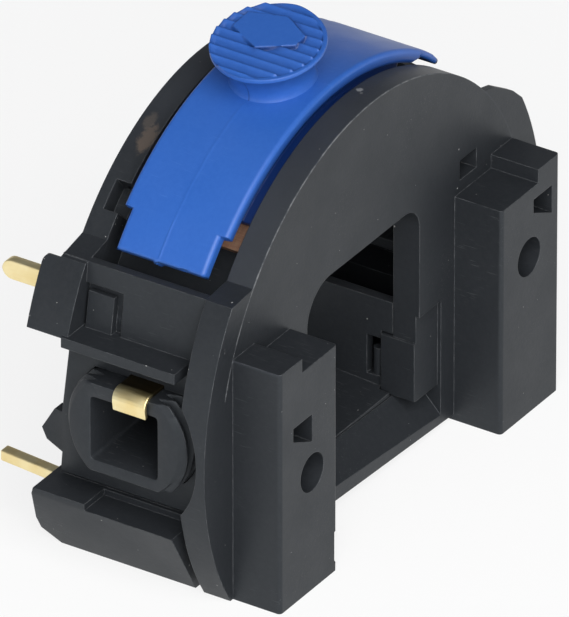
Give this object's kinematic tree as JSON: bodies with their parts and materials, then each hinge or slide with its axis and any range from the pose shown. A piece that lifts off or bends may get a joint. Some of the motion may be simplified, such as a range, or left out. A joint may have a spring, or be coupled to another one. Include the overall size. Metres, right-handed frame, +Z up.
{
  "type": "variable speed switch",
  "caption": "Arch-shaped speed switch for a rotary tool: black housing with mounting pads, brush guides and brass terminals, blue slider with a ridged knob running over the arch.",
  "frame": {"origin": "on the tool's motor axis, the arch's own centre, in the front face of the front plate", "axes": "+X across the arch, +Y along the motor axis away from the mounting pads, +Z up to the slider"},
  "size_m": [0.0441, 0.0232, 0.0365],
  "materials": {
    "black_moulding": "satin moulded",
    "black_moulding_fine": "satin moulded",
    "blue_moulding": "satin moulded",
    "contact_brass": "bright rolled",
    "brown_laminate": "pressed paper laminate",
    "carbon_film": "dull film",
    "copper_film": "etched foil",
    "clip_brass": "bright rolled",
    "terminal_brass": "bright rolled",
    "green_laminate": "solder masked",
    "black_epoxy": "moulded epoxy",
    "sheet_aluminium": "rolled",
    "yellow_film_case": "gloss",
    "grey_film_case": "gloss",
    "glass_bead": "gloss",
    "resistor_lacquer": "lacquered"
  },
  "bodies": {
    "housing": {"front_plate": "black_moulding", "rear_housing": "black_moulding", "speed_board": "brown_laminate", "resistance_track": "carbon_film", "collector_track": "copper_film", "left_brush_guide": "black_moulding_fine", "right_brush_guide": "black_moulding_fine", "left_brush_clip": "clip_brass", "right_brush_clip": "clip_brass", "upper_terminal": "terminal_brass", "lower_terminal": "terminal_brass", "control_board": "green_laminate", "triac": "black_epoxy", "heat_sink": "sheet_aluminium", "timing_capacitor": "yellow_film_case", "suppression_capacitor": "grey_film_case", "trigger_diode": "glass_bead", "gate_resistor": "resistor_lacquer", "charging_resistor": "resistor_lacquer"},
    "slider": {"speed_slider": "blue_moulding", "wiper_spring": "contact_brass"}
  },
  "joints": [
    {"name": "speed_slide", "type": "hinge", "parent": "housing", "child": "slider", "pos_m": [0, 0, 0], "axis": [0, 1, 0], "range_deg": [0, 12.7]}
  ]
}
